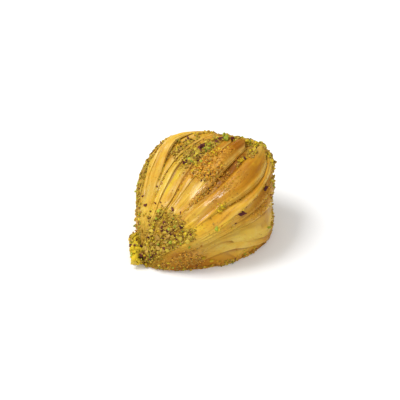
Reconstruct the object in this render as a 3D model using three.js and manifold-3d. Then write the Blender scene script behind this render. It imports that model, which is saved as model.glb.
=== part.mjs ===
// A mussel-shell baklava: leaves of filo drawn together at a pistachio-covered tip and
// fanned over a domed body as overlapping petals. +X runs from the tip to the blunt end,
// +Z is up, and the origin is the middle of the footprint. Millimetres.
import * as THREE from 'three';
import Module from 'manifold-3d';

// Driving dimensions of the body. Stations are measured from the tip along the piece.
const bodyLength = 58.6;
const endStation = 57.6;         // where the blunt end closes
const endBulge = 1.0;            // how far the end face swells past that station
const endCentreHeight = 13;
const rightWidth = { top: 27.0, station: 42.6, rise: 0.55, fullness: 2.6 };
const leftWidth = { top: 28.1, station: 25.2, rise: 0.84, fullness: 1.6 };
const crest = { top: 31.8, station: 45.3, rise: 0.45, fullness: 6.5 };
const waistHeight = 12.0;        // widest level of the flanks
const footInset = 1.14;          // how far the foot tucks in below the waist
const flankShare = 0.16;         // share of a section's girth below the waist, each side
const domePower = 0.473;         // how boxy the top of a section is
const shoulderPower = 0.85;
const fanLift = 0.35;            // how far the petals climb towards the crest at the end
const axisBend = 3.1;            // sideways sweep of the spine at the end
const corner = { reach: 5.1, lift: 5.3, girth: 0.374, spread: 0.16, height: 14 };

// Petals, from the right foot over the top to the left foot. edge: girth share of a petal's
// lower border at edgeStations; step: how far it stands over the petal below it; parts:
// stations where it begins to lift and is fully up; fall: shares of its width between which it
// sinks to its foot; crown: fullness of its middle; end: station of its free end.
const edgeStations = [12, 26, 40, 54];
const petals = [
  {
    edge: [0.000, 0.000, 0.000, 0.000], step: 0.4, parts: [3, 26], fall: [0.1, 1],
    crown: 0.1, end: 55.5,
  },
  {
    edge: [0.085, 0.112, 0.062, 0.030], step: 0.5, parts: [9, 30], fall: [0.2, 1],
    crown: 0.1, end: 56.0,
  },
  {
    edge: [0.140, 0.148, 0.096, 0.055], step: 0.8, parts: [16, 34], fall: [0.2, 1],
    crown: 0.2, end: 56.0,
  },
  {
    edge: [0.178, 0.173, 0.158, 0.130], step: 0.6, parts: [22, 38], fall: [0.1, 1],
    crown: 0.1, end: 55.5,
  },
  {
    edge: [0.205, 0.207, 0.200, 0.185], step: 0.4, parts: [26, 42], fall: [0.1, 1],
    crown: 0.1, end: 56.0,
  },
  {
    edge: [0.238, 0.246, 0.254, 0.246], step: 1.3, parts: [20, 38], fall: [0.3, 1],
    crown: 0.1, end: 56.0,
  },
  {
    edge: [0.312, 0.325, 0.292, 0.303], step: 2.3, parts: [15, 38], fall: [0.62, 0.8],
    crown: 0.8, end: 54.5,
  },
  {
    edge: [0.452, 0.443, 0.443, 0.424], step: 2.5, parts: [16, 43], fall: [0.5, 1],
    crown: 1.2, end: 52.5,
  },
  {
    edge: [0.498, 0.503, 0.506, 0.510], step: 0.6, parts: [3, 30], fall: [0.1, 1],
    crown: 0.1, end: 51.5,
  },
  {
    edge: [0.515, 0.528, 0.545, 0.550], step: 0.5, parts: [3, 26], fall: [0.2, 1],
    crown: 0.2, end: 52.0,
  },
  {
    edge: [0.556, 0.572, 0.578, 0.585], step: 0.6, parts: [10, 34], fall: [0.1, 1],
    crown: 0.1, end: 51.0,
  },
  {
    edge: [0.584, 0.604, 0.608, 0.622], step: 0.5, parts: [12, 36], fall: [0.2, 1],
    crown: 0.2, end: 52.0,
  },
  {
    edge: [0.602, 0.630, 0.679, 0.700], step: 1.7, parts: [9, 36], fall: [0.5, 1],
    crown: 0.3, end: 51.5,
  },
  {
    edge: [0.668, 0.702, 0.722, 0.738], step: 0.4, parts: [12, 34], fall: [0.2, 1],
    crown: 0.3, end: 53.0,
  },
  {
    edge: [0.722, 0.748, 0.765, 0.778], step: 0.7, parts: [5, 30], fall: [0.3, 1],
    crown: 0.3, end: 52.0,
  },
  {
    edge: [0.785, 0.800, 0.812, 0.822], step: 0.8, parts: [3, 30], fall: [0.3, 1],
    crown: 0.3, end: 53.0,
  },
  {
    edge: [0.852, 0.858, 0.868, 0.876], step: 0.9, parts: [3, 30], fall: [0.3, 1],
    crown: 0.3, end: 52.5,
  },
  {
    edge: [0.920, 0.926, 0.932, 0.936], step: 0.5, parts: [3, 30], fall: [0.2, 1],
    crown: 0.1, end: 54.0,
  },
];
const leastPetalGirth = 0.012;   // share of the girth that a petal keeps when its edges meet
const edgeRange = [8, 56];       // stations between which the petals' borders move
const endDrop = 1.1;             // step at the free end of a petal
const endTaper = 0.75;           // share of its step that a petal loses towards its free end
const taperStarts = 0.72;        // share of the way to the free end
const endRounding = 2.2;         // how far the corners of a free end are cut back
const swell = 0.45;              // slow unevenness of the skin
const skinSink = 0.5;            // how far the valleys lie inside the plain body

// Chopped pistachio that is large enough to have its own form.
const tipGrains = { count: 52, stations: [0.8, 15.5], girth: [0.2, 0.7], radius: [0.85, 1.4] };
const grainPatches = [
  { station: 39.0, girth: 0.556, along: 4.6, across: 0.014, count: 11, radius: 1.3 },
  { station: 46.5, girth: 0.418, along: 3.2, across: 0.014, count: 7, radius: 1.15 },
  { station: 51.0, girth: 0.545, along: 1.6, across: 0.045, count: 8, radius: 1.3 },
  { station: 27.5, girth: 0.322, along: 1.5, across: 0.012, count: 3, radius: 1.1 },
  { station: 46.0, girth: 0.525, along: 4.5, across: 0.03, count: 5, radius: 0.9 },
  { station: 20.0, girth: 0.76, along: 9.0, across: 0.05, count: 6, radius: 1.0 },
];
const loneGrains = [
  { station: 32.6, girth: 0.232, radius: 1.45 },
  { station: 45.6, girth: 0.228, radius: 1.35 },
  { station: 27.3, girth: 0.202, radius: 0.95 },
  { station: 21.6, girth: 0.238, radius: 1.3 },
  { station: 15.4, girth: 0.125, radius: 1.35 },
  { station: 18.6, girth: 0.085, radius: 1.0 },
  { station: 11.6, girth: 0.636, radius: 1.0 },
  { station: 18.5, girth: 0.606, radius: 0.95 },
  { station: 42.0, girth: 0.88, radius: 1.1 },
  { station: 33.0, girth: 0.82, radius: 1.0 },
];

// The rough clump of ground pistachio that sticks to the tip.
const clump = {
  foot: [-0.9, 1.4, 3.4],
  top: [2.3, 6.6, 8.2],
  lumps: 4,
  lumpRadius: [3.1, 2.5],
  grainsOnLump: 5,
  grainRadius: [1.2, 1.8],
};

const rowsToEnds = 24;
const rowSpacingPower = 1.35;    // rows crowd together at the tip
const rowsPastEnds = 3;
const endFaceRows = 2;
const columnShares = [0, 0.35, 0.7, 0.97];
const soleColumns = 1;
const grainSides = 5;
const grainRings = 3;

const filoColour = 0xdda648;
const filoRoughness = 0.45;

const clamp = (value, low, high) => Math.min(high, Math.max(low, value));
const mix = (a, b, share) => a + (b - a) * share;

function smooth(value, low, high) {
  const share = clamp((value - low) / (high - low), 0, 1);
  return share * share * (3 - 2 * share);
}

// Repeatable random numbers from 0 to 1.
function makeRandom(seed) {
  let state = seed;
  return () => {
    state = (state + 0x6d2b79f5) | 0;
    let mixed = Math.imul(state ^ (state >>> 15), 1 | state);
    mixed = (mixed + Math.imul(mixed ^ (mixed >>> 7), 61 | mixed)) ^ mixed;
    return ((mixed ^ (mixed >>> 14)) >>> 0) / 4294967296;
  };
}

// A half-width or height along the body: a power rise from the tip, closed by a superellipse.
function profile(shape, station) {
  const curve = (at) => (at / shape.station) ** shape.rise
    * Math.max(0, 1 - (at / bodyLength) ** shape.fullness) ** (1 / shape.fullness);
  return shape.top * curve(station) / curve(shape.station);
}

// The plain body: girth runs from 0 at the right foot over the top to 1 at the left foot.
function bodyPoint(station, girth) {
  const along = station / bodyLength;
  const lifted = girth + fanLift * along ** 1.5 * Math.sin(2 * Math.PI * girth) / (2 * Math.PI);
  const height = profile(crest, station);
  const width = profile(lifted < 0.5 ? rightWidth : leftWidth, station);
  const waist = Math.min(waistHeight, 0.45 * height);
  const inset = Math.min(footInset, 0.3 * width);
  let across;
  let up;
  if (lifted < flankShare || lifted > 1 - flankShare) {
    const below = Math.max(flankShare - lifted, lifted - 1 + flankShare) / flankShare;
    const angle = below * Math.PI / 2;
    across = (width - inset * (1 - Math.cos(angle))) * (lifted < 0.5 ? 1 : -1);
    up = waist * (1 - Math.sin(angle));
  } else {
    const angle = Math.PI * (lifted - flankShare) / (1 - 2 * flankShare);
    across = width * Math.sign(Math.cos(angle)) * Math.abs(Math.cos(angle)) ** shoulderPower;
    up = waist + (height - waist) * Math.sin(angle) ** domePower;
  }
  const fullEnd = along ** 6 * Math.exp(-(((lifted - corner.girth) / corner.spread) ** 2))
    * smooth(up, 0, corner.height);
  return new THREE.Vector3(
    station + corner.reach * fullEnd,
    axisBend * along * along - across,
    up + corner.lift * fullEnd,
  );
}

function bodyNormal(station, girth) {
  const atStation = clamp(station, 0.5, endStation - 0.5);
  const atGirth = clamp(girth, 0.01, 0.99);
  const along = bodyPoint(atStation + 0.3, atGirth).sub(bodyPoint(atStation - 0.3, atGirth));
  const over = bodyPoint(atStation, atGirth + 0.006).sub(bodyPoint(atStation, atGirth - 0.006));
  const normal = along.cross(over).normalize();
  if (normal.z < 0 && girth > 0.2 && girth < 0.8) {
    normal.negate();
  }
  return normal;
}

// Girth share of each petal's lower border at a station, with a last one at the left foot.
function petalEdges(station) {
  const at = clamp(station, edgeRange[0], edgeRange[1]);
  const weights = edgeStations.map((own) => {
    const others = edgeStations.filter((other) => other !== own);
    return others.reduce((weight, other) => weight * (at - other) / (own - other), 1);
  });
  const edges = [0];
  for (const petal of petals.slice(1)) {
    const girth = petal.edge.reduce((sum, share, k) => sum + share * weights[k], 0);
    edges.push(Math.max(girth, edges[edges.length - 1] + leastPetalGirth));
  }
  edges.push(1);
  return edges;
}

function unevenness(station, girth) {
  const slow = Math.sin(station * 0.21 + girth * 9.0) * Math.sin(girth * 23.0 - station * 0.05);
  const quick = Math.sin(station * 0.47 + girth * 31.0 + 1.3) * Math.sin(girth * 57.0 + 0.4);
  return swell * (0.65 * slow + 0.35 * quick);
}

function petalEnd(index, share) {
  const off = 2 * share - 1;
  return petals[index].end - endRounding * off * off;
}

// The skin over petal number index, share of the way across it. past: how far beyond the
// petal's free end, from 0 to 1 at the end face.
function skinPoint(station, index, share, past) {
  const edges = petalEdges(station);
  const girth = mix(edges[index], edges[index + 1], share);
  const petal = petals[index];
  const fade = smooth(station, petal.parts[0], petal.parts[1]) * (1 - past);
  const sunk = smooth(share, petal.fall[0], petal.fall[1]);
  const taper = 1 - endTaper * smooth(station / petalEnd(index, share), taperStarts, 1);
  const full = petal.crown * Math.sin(Math.PI * Math.min(share / petal.fall[1], 1));
  let height = (petal.step * (1 - sunk) * taper + full) * fade;
  height += unevenness(station, girth) * smooth(station, 2, 12);
  height -= skinSink * fade + endDrop * smooth(past, 0, 0.02);
  const point = bodyPoint(station, girth);
  const normal = bodyNormal(station, girth);
  const clear = point.z;
  normal.z *= smooth(clear, 0, 4);
  point.addScaledVector(normal, height * smooth(Math.min(girth, 1 - girth), -0.02, 0.03));
  point.z = girth <= 0 || girth >= 1 ? 0 : Math.max(point.z, 0.4 * Math.min(clear, 0.5));
  return point;
}

// Closed tube of rings round the body: petal columns over the top, then columns in the sole.
function bodyRings() {
  const columns = [];
  petals.forEach((petal, index) => {
    columnShares.forEach((share) => columns.push({ index, share }));
  });
  columns.push({ index: petals.length - 1, share: 1 });
  const rings = [];
  const addRing = (makePoint) => {
    const ring = columns.map(makePoint);
    const left = ring[ring.length - 1];
    const right = ring[0];
    for (let k = 1; k <= soleColumns; k += 1) {
      ring.push(left.clone().lerp(right, k / (soleColumns + 1)));
    }
    rings.push(ring);
  };
  for (let row = 1; row <= rowsToEnds; row += 1) {
    const along = (row / rowsToEnds) ** rowSpacingPower;
    addRing(({ index, share }) => skinPoint(petalEnd(index, share) * along, index, share, 0));
  }
  for (let row = 0; row <= rowsPastEnds; row += 1) {
    const along = row / rowsPastEnds;
    addRing(({ index, share }) => {
      const start = petalEnd(index, share) + 0.35;
      return skinPoint(mix(start, endStation, along), index, share, mix(0.05, 1, along));
    });
  }
  const centre = new THREE.Vector3(endStation + endBulge, axisBend, endCentreHeight);
  const rim = rings[rings.length - 1];
  for (let row = 1; row <= endFaceRows; row += 1) {
    const inward = row / (endFaceRows + 1);
    const bulge = endBulge * Math.sqrt(inward * (2 - inward));
    rings.push(rim.map((point) => {
      const moved = point.clone().lerp(centre, inward);
      moved.x = mix(point.x, centre.x - endBulge, inward) + bulge;
      return moved;
    }));
  }
  return { rings, centre };
}

function ringsToMesh(rings, firstPole, lastPole) {
  const positions = [firstPole.x, firstPole.y, firstPole.z];
  rings.forEach((ring) => ring.forEach((point) => positions.push(point.x, point.y, point.z)));
  positions.push(lastPole.x, lastPole.y, lastPole.z);
  const count = rings[0].length;
  const lastIndex = positions.length / 3 - 1;
  const at = (row, column) => 1 + row * count + (column % count);
  const triangles = [];
  for (let column = 0; column < count; column += 1) {
    triangles.push(0, at(0, column), at(0, column + 1));
    for (let row = 0; row + 1 < rings.length; row += 1) {
      const a = at(row, column);
      const b = at(row, column + 1);
      const c = at(row + 1, column + 1);
      const d = at(row + 1, column);
      triangles.push(a, d, c, a, c, b);
    }
    triangles.push(lastIndex, at(rings.length - 1, column + 1), at(rings.length - 1, column));
  }
  return { positions, triangles };
}

function signedVolume({ positions, triangles }) {
  let volume = 0;
  const corner3 = (index) => new THREE.Vector3().fromArray(positions, 3 * index);
  for (let k = 0; k < triangles.length; k += 3) {
    const a = corner3(triangles[k]);
    const b = corner3(triangles[k + 1]);
    const c = corner3(triangles[k + 2]);
    volume += a.dot(b.cross(c)) / 6;
  }
  return volume;
}

// A rough nut grain: a few-sided ball, its corners drawn in or out at random.
function grainMesh(centre, radius, random) {
  const turn = new THREE.Quaternion().setFromEuler(
    new THREE.Euler(random() * 6.28, random() * 6.28, random() * 6.28),
  );
  const stretch = new THREE.Vector3(mix(0.9, 1.3, random()), mix(0.75, 1.05, random()), 0.85);
  const place = (x, y, z) => new THREE.Vector3(x, y, z)
    .multiply(stretch)
    .multiplyScalar(radius * mix(0.82, 1.12, random()))
    .applyQuaternion(turn)
    .add(centre);
  const rings = [];
  for (let ring = 1; ring < grainRings; ring += 1) {
    const down = Math.PI * ring / grainRings;
    const points = [];
    for (let side = 0; side < grainSides; side += 1) {
      const round = 2 * Math.PI * (side + 0.5 * (ring % 2)) / grainSides;
      points.push(place(Math.sin(down) * Math.cos(round), Math.sin(down) * Math.sin(round),
        Math.cos(down)));
    }
    rings.push(points);
  }
  return ringsToMesh(rings, place(0, 0, 1), place(0, 0, -1));
}

// Places on the skin for the grains, as [station, girth, radius].
function grainPlaces(random) {
  const places = loneGrains.map((grain) => [grain.station, grain.girth, grain.radius]);
  for (const patch of grainPatches) {
    for (let k = 0; k < patch.count; k += 1) {
      places.push([
        patch.station + patch.along * (random() + random() - 1),
        patch.girth + patch.across * 2 * (random() - 0.5),
        patch.radius * mix(0.75, 1.15, random()),
      ]);
    }
  }
  for (let k = 0; k < tipGrains.count; k += 1) {
    places.push([
      mix(tipGrains.stations[0], tipGrains.stations[1], random() ** 0.85),
      mix(tipGrains.girth[0], tipGrains.girth[1], (random() + random()) / 2),
      mix(tipGrains.radius[0], tipGrains.radius[1], random()),
    ]);
  }
  return places;
}

// Skin point and outward direction at any girth share.
function skinAt(station, girth) {
  const edges = petalEdges(station);
  let index = petals.length - 1;
  while (index > 0 && edges[index] > girth) {
    index -= 1;
  }
  const share = (girth - edges[index]) / (edges[index + 1] - edges[index]);
  const end = petalEnd(index, share);
  const past = clamp((station - end) / (endStation - end), 0, 1);
  return { point: skinPoint(station, index, share, past), normal: bodyNormal(station, girth) };
}

function toSolid(wasm, mesh) {
  const flipped = signedVolume(mesh) < 0;
  const triVerts = new Uint32Array(mesh.triangles.length);
  for (let k = 0; k < triVerts.length; k += 3) {
    triVerts[k] = mesh.triangles[k];
    triVerts[k + 1] = mesh.triangles[flipped ? k + 2 : k + 1];
    triVerts[k + 2] = mesh.triangles[flipped ? k + 1 : k + 2];
  }
  const vertProperties = new Float32Array(mesh.positions);
  return new wasm.Manifold(new wasm.Mesh({ numProp: 3, vertProperties, triVerts }));
}

// Keeps the outer skin alone: sealed hollows between grains are filled, scraps dropped.
function outerSkin(positions, triangles) {
  const parent = positions.map((_, index) => index);
  const find = (index) => {
    let root = index;
    while (parent[root] !== root) {
      parent[root] = parent[parent[root]];
      root = parent[root];
    }
    return root;
  };
  for (let k = 0; k < triangles.length; k += 3) {
    parent[find(triangles[k])] = find(triangles[k + 1]);
    parent[find(triangles[k + 1])] = find(triangles[k + 2]);
  }
  const shells = new Map();
  for (let k = 0; k < triangles.length; k += 3) {
    const root = find(triangles[k]);
    if (!shells.has(root)) {
      shells.set(root, []);
    }
    shells.get(root).push(triangles[k], triangles[k + 1], triangles[k + 2]);
  }
  const size = (shell) => signedVolume({ positions, triangles: shell });
  return [...shells.values()].sort((a, b) => size(b) - size(a))[0];
}

async function makePastry() {
  const wasm = await Module();
  wasm.setup();
  const random = makeRandom(20417);
  const { rings, centre } = bodyRings();
  let solid = toSolid(wasm, ringsToMesh(rings, new THREE.Vector3(0, 0, 0), centre));
  for (const [station, girth, radius] of grainPlaces(random)) {
    const { point, normal } = skinAt(station, girth);
    point.addScaledVector(normal, 0.2 * radius);
    point.z = Math.max(point.z, 1.2 * radius);
    solid = solid.add(toSolid(wasm, grainMesh(point, radius, random)));
  }
  for (let k = 0; k < clump.lumps; k += 1) {
    const level = k / (clump.lumps - 1);
    const lump = new THREE.Vector3(...clump.foot).lerp(new THREE.Vector3(...clump.top), level);
    const lumpRadius = mix(clump.lumpRadius[0], clump.lumpRadius[1], level);
    solid = solid.add(toSolid(wasm, grainMesh(lump, lumpRadius, random)));
    for (let grain = 0; grain < clump.grainsOnLump; grain += 1) {
      const radius = mix(clump.grainRadius[0], clump.grainRadius[1], random());
      const out = new THREE.Vector3(random() - 0.8, random() - 0.4, random() - 0.5).normalize();
      const point = lump.clone().addScaledVector(out, 0.85 * lumpRadius);
      point.z = Math.max(point.z, 1.35 * radius);
      solid = solid.add(toSolid(wasm, grainMesh(point, radius, random)));
    }
  }
  const mesh = solid.getMesh();
  const positions = Array.from(mesh.vertProperties);
  const triangles = outerSkin(positions, Array.from(mesh.triVerts));
  const geometry = new THREE.BufferGeometry();
  geometry.setAttribute('position', new THREE.Float32BufferAttribute(positions, 3));
  geometry.setIndex(triangles);
  return geometry;
}

const geometry = await makePastry();
geometry.computeBoundingBox();
const box = geometry.boundingBox;
geometry.translate(-(box.min.x + box.max.x) / 2, -(box.min.y + box.max.y) / 2, -box.min.z);
geometry.computeVertexNormals();

const filo = new THREE.MeshStandardMaterial({
  color: filoColour,
  roughness: filoRoughness,
  metalness: 0,
});
const pastry = new THREE.Mesh(geometry, filo);
pastry.name = 'baklava';

const part = new THREE.Group();
part.add(pastry);

export default part;
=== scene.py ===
import math

import bmesh
import bpy
import numpy as np
from mathutils import Matrix, Vector
from mathutils.bvhtree import BVHTree


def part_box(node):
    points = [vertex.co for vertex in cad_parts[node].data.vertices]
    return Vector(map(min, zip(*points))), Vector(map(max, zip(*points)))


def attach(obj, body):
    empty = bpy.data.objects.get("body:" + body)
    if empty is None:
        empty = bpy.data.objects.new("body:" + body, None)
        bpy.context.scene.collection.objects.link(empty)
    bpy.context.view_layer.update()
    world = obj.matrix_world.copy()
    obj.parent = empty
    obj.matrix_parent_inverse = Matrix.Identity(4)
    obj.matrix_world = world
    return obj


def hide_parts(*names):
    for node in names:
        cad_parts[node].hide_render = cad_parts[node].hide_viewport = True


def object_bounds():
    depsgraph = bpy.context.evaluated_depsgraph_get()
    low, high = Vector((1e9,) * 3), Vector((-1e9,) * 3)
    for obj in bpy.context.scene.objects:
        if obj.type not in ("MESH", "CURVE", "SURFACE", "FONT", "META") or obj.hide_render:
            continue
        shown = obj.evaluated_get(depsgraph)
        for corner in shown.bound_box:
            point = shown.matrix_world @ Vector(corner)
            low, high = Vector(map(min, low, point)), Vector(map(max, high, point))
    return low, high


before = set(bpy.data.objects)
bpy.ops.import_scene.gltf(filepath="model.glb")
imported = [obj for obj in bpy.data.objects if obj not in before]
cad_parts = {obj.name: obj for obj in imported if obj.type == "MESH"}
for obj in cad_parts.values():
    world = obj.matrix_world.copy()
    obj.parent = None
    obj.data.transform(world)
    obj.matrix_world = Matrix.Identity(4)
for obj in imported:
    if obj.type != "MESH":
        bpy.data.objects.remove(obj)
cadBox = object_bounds()
mm = 0.001

# The piece runs from its tip (station 0) to its blunt end. Sizes are in mm. A girth share runs
# from 0 at the right foot over the top to 1 at the left foot.
# tipFromBox: the foot of the tip, from the low corner of the solid's box.
form = {
    "tipFromBox": (4.16, 26.41),
    "length": 58.6,
    "endStation": 57.6,
    "endBulge": 1,
    "right": {"top": 27, "station": 42.6, "rise": 0.55, "fullness": 2.6},
    "left": {"top": 28.1, "station": 25.2, "rise": 0.84, "fullness": 1.6},
    "crest": {"top": 31.8, "station": 45.3, "rise": 0.45, "fullness": 6.5},
    "waist": 12,
    "footInset": 1.14,
    "flankShare": 0.16,
    "domePower": 0.473,
    "shoulderPower": 0.85,
    "fanLift": 0.35,
    "bend": 3.1,
    "corner": {"reach": 5.1, "lift": 5.3, "girth": 0.374, "spread": 0.16, "height": 14},
}

# Petals of filo from the right foot over the top to the left foot. edge: girth share of the
# lower border at petalStations; step: how far it stands over the petal below, mm; parts:
# stations where the edge begins to lift and is fully up; fall: shares between which the petal
# sinks to its foot; crown: fullness of its middle, mm; end: station of the free end.
petalStations = (12, 26, 40, 54)
petalFields = ("edge", "step", "parts", "fall", "crown", "end")
petals = [dict(zip(petalFields, row)) for row in (
    ((0, 0, 0, 0), 0.4, (3, 26), (0.1, 1), 0.1, 55.5),
    ((0.085, 0.112, 0.062, 0.03), 0.5, (9, 30), (0.2, 1), 0.1, 56),
    ((0.14, 0.148, 0.096, 0.055), 0.8, (16, 34), (0.2, 1), 0.2, 56),
    ((0.178, 0.173, 0.158, 0.13), 0.6, (22, 38), (0.1, 1), 0.1, 55.5),
    ((0.205, 0.207, 0.2, 0.185), 0.4, (26, 42), (0.1, 1), 0.1, 56),
    ((0.238, 0.246, 0.254, 0.246), 1.3, (20, 38), (0.3, 1), 0.1, 56),
    ((0.312, 0.325, 0.292, 0.303), 2.3, (15, 38), (0.62, 0.8), 0.8, 54.5),
    ((0.452, 0.443, 0.443, 0.424), 2.5, (16, 43), (0.5, 1), 1.2, 52.5),
    ((0.498, 0.503, 0.506, 0.51), 0.6, (3, 30), (0.1, 1), 0.1, 51.5),
    ((0.515, 0.528, 0.545, 0.55), 0.5, (3, 26), (0.2, 1), 0.2, 52),
    ((0.556, 0.572, 0.578, 0.585), 0.6, (10, 34), (0.1, 1), 0.1, 51),
    ((0.584, 0.604, 0.608, 0.622), 0.5, (12, 36), (0.2, 1), 0.2, 52),
    ((0.602, 0.63, 0.679, 0.7), 1.7, (9, 36), (0.5, 1), 0.3, 51.5),
    ((0.668, 0.702, 0.722, 0.738), 0.4, (12, 34), (0.2, 1), 0.3, 53),
    ((0.722, 0.748, 0.765, 0.778), 0.7, (5, 30), (0.3, 1), 0.3, 52),
    ((0.785, 0.8, 0.812, 0.822), 0.8, (3, 30), (0.3, 1), 0.3, 53),
    ((0.852, 0.858, 0.868, 0.876), 0.9, (3, 30), (0.3, 1), 0.3, 52.5),
    ((0.92, 0.926, 0.932, 0.936), 0.5, (3, 30), (0.2, 1), 0.1, 54),
)]

# Lengths are in mm unless said otherwise.
skin = {
    "leastPetal": 0.012,  # of the girth
    "edgeRange": (8, 56),
    "endDrop": 1.1,
    "endRounding": 0.3,  # of a petal's width
    "mostRounding": 3,
    "endTaper": 0.75,  # of a petal's step, lost towards its free end
    "taperFrom": 0.72,  # of a petal's length
    "swell": 0.5,
    "sink": 0.5,
    "middleStation": 40,
    "columnSpacing": 0.34,
    "rowsToEnds": 150,
    "rowPower": 1.3,
    "noseRows": 7,
    "soleColumns": 7,
    "rimHighlightWidth": 0.6,  # of a petal's painted highlight along its border
    "rimHighlightFrom": 0.45,  # of an edge's height, above which that highlight is painted
    "noseShadow": (0.9, 0.15, 0.6),  # painted shadow at the foot of a free end: depth, and heights of an end over which it deepens
    "wetCalm": 0.9,  # of the fine relief, smoothed by a film of syrup
    "leafStep": 0.5,  # of an edge's height, for each sheet of filo that shows in it
    "leafLevels": (0.04, 0.5, 0.94),
    "overhang": 0.3,  # of a petal's step
    "tuck": 0.45,
    "terrace": 0.2,  # set-back of each sheet from the one below
    "notch": 0.16,
    "sameWithin": 0.00002,  # points this near are one point
    "thinBelow": 0.004,  # faces thinner than this go
    "edgeReach": 1.5,  # that the pattern runs on under an edge
    "foot": (0.84, 1),  # shares of a petal between which caramel and painted shade darken it to its foot
    "wander": 0.45,
    "wanderLength": 13,
    "ragged": 0.22,
    "raggedLength": 3.1,
}

# Relief of the skin: depth and its lengths along and across the petals. pleated is where the
# pleats show; pleatShade: half-width and depth of the painted shade in the crease between two.
relief = {
    "pleats": {"depth": 0.2, "along": 17, "across": 3, "seed": 21, "pleatShade": (0.13, 0.4)},
    "pleated": {"along": 13, "across": 8, "seed": 27, "shows": (-0.5, 0.35)},
    "folds": {"depth": 0.34, "along": 12, "across": 5.2, "seed": 22},
    "lines": {"depth": 0.06, "along": 9, "across": 0.8, "seed": 23},
    "wrinkles": {"depth": 0.16, "along": 2.9, "across": 1.4, "seed": 24},
    "ground": {"depth": 0.34, "along": 1.3, "across": 1.2, "seed": 25},
    "crust": {"depth": 0.3, "along": 1.6, "across": 1.1, "seed": 26},
    "sheets": {"depth": 0.42, "along": 15, "across": 2.9, "seed": 28, "sway": 0.9},
}

# A thin sheet's edge: where it has risen, how fast it sinks and where the caramel and painted
# shade of the crease at its foot lie, as shares of the space between two edges; the noise between
# which it shows; its mean height; and how much longer than that space the sway is.
sheetEdge = {"risen": 0.22, "sinking": 1.2, "crease": (0.78, 0.95), "shows": (-0.25, 0.45), "mean": 0.35,
             "swayLength": 3}

# Where the relief grows or fades, in stations or girth shares. plainPetal and plainCrown: middle
# girth share, half-spread and how much of the relief is lost.
zones = {
    "relief": (2, 12),
    "pleats": (9, 17),
    "sheets": (8, 20),
    "plainPetal": (0.36, 0.04, 0.8),
    "plainFrom": (24, 32),
    "plainCrown": (0.42, 0.2, 0.75),
    "crownFrom": (26, 42),
    "leftFlank": (0.66, 0.74),
    "rightFlank": (0.17, 0.11),
    "farFrom": (38, 50),
    "rightCrust": (0.11, 0.04),
    "leftCrust": (0.9, 0.96),
}
flanks = {"lines": 1.5, "sheets": 1.3}  # how much the relief gains there


def smooth(value, low, high):
    share = np.clip((value - low) / (high - low), 0.0, 1.0)
    return share * share * (3 - 2 * share)


noiseTables = {}


# Seeded value noise in two directions, from -1 to 1.
def latticeNoise(x, y, seed):
    if seed not in noiseTables:
        noiseTables[seed] = np.random.default_rng(seed).uniform(-1, 1, (256, 256))
    table = noiseTables[seed]
    xCell, yCell = np.floor(x).astype(int), np.floor(y).astype(int)
    xShare, yShare = (share * share * (3 - 2 * share) for share in (x - xCell, y - yCell))
    low, high = (
        table[xCell % 256, row % 256] * (1 - xShare) + table[(xCell + 1) % 256, row % 256] * xShare
        for row in (yCell, yCell + 1))
    return low * (1 - yShare) + high * yShare


def profile(shape, station):
    def curve(at):
        return (at / shape["station"]) ** shape["rise"] * np.maximum(
            0, 1 - (at / form["length"]) ** shape["fullness"]) ** (1 / shape["fullness"])
    return shape["top"] * curve(station) / curve(np.array(shape["station"]))


# Points of the plain body, the last axis holding x, y and z from the tip.
def bodyPoint(station, girth):
    along = station / form["length"]
    lifted = girth + form["fanLift"] * along ** 1.5 * np.sin(2 * math.pi * girth) / (2 * math.pi)
    height = profile(form["crest"], station)
    rightSide = lifted < 0.5
    width = np.where(rightSide, profile(form["right"], station), profile(form["left"], station))
    waist = np.minimum(form["waist"], 0.45 * height)
    inset = np.minimum(form["footInset"], 0.3 * width)
    share = form["flankShare"]
    below = np.clip(np.maximum(share - lifted, lifted - 1 + share) / share, 0, 1) * math.pi / 2
    over = math.pi * np.clip((lifted - share) / (1 - 2 * share), 0, 1)
    isFlank = (lifted < share) | (lifted > 1 - share)
    across = np.where(
        isFlank, (width - inset * (1 - np.cos(below))) * np.where(rightSide, 1, -1),
        width * np.sign(np.cos(over)) * np.abs(np.cos(over)) ** form["shoulderPower"])
    up = np.where(
        isFlank, waist * (1 - np.sin(below)),
        waist + (height - waist) * np.sin(over) ** form["domePower"])
    corner = form["corner"]
    fullEnd = (along ** 6 * np.exp(-((lifted - corner["girth"]) / corner["spread"]) ** 2)
               * smooth(up, 0, corner["height"]))
    return np.stack([
        station + corner["reach"] * fullEnd,
        form["bend"] * along * along - across,
        up + corner["lift"] * fullEnd], -1)


sectionShares = np.linspace(0, 1, 401)
sectionSteps = np.diff(bodyPoint(np.full(401, skin["middleStation"]), sectionShares), axis=0)
sectionLengths = np.concatenate([[0], np.cumsum(np.linalg.norm(sectionSteps, axis=1))])


# Length over a middle section, from the right foot to a girth share.
def overLength(girth):
    return np.interp(girth, sectionShares, sectionLengths)


def unit(vectors):
    return vectors / np.maximum(np.linalg.norm(vectors, axis=-1, keepdims=True), 1e-9)


# Outward direction, and the body's length per unit of girth.
def bodyFrame(station, girth):
    atStation = np.clip(station, 0.5, form["endStation"] - 0.5)
    atGirth = np.clip(girth, 0.01, 0.99)
    along = bodyPoint(atStation + 0.3, atGirth) - bodyPoint(atStation - 0.3, atGirth)
    over = bodyPoint(atStation, atGirth + 0.006) - bodyPoint(atStation, atGirth - 0.006)
    normal = unit(np.cross(along, over))
    turned = (normal[..., 2] < 0) & (girth > 0.2) & (girth < 0.8)
    normal[turned] *= -1
    return normal, np.linalg.norm(over, axis=-1) / 0.012


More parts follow.
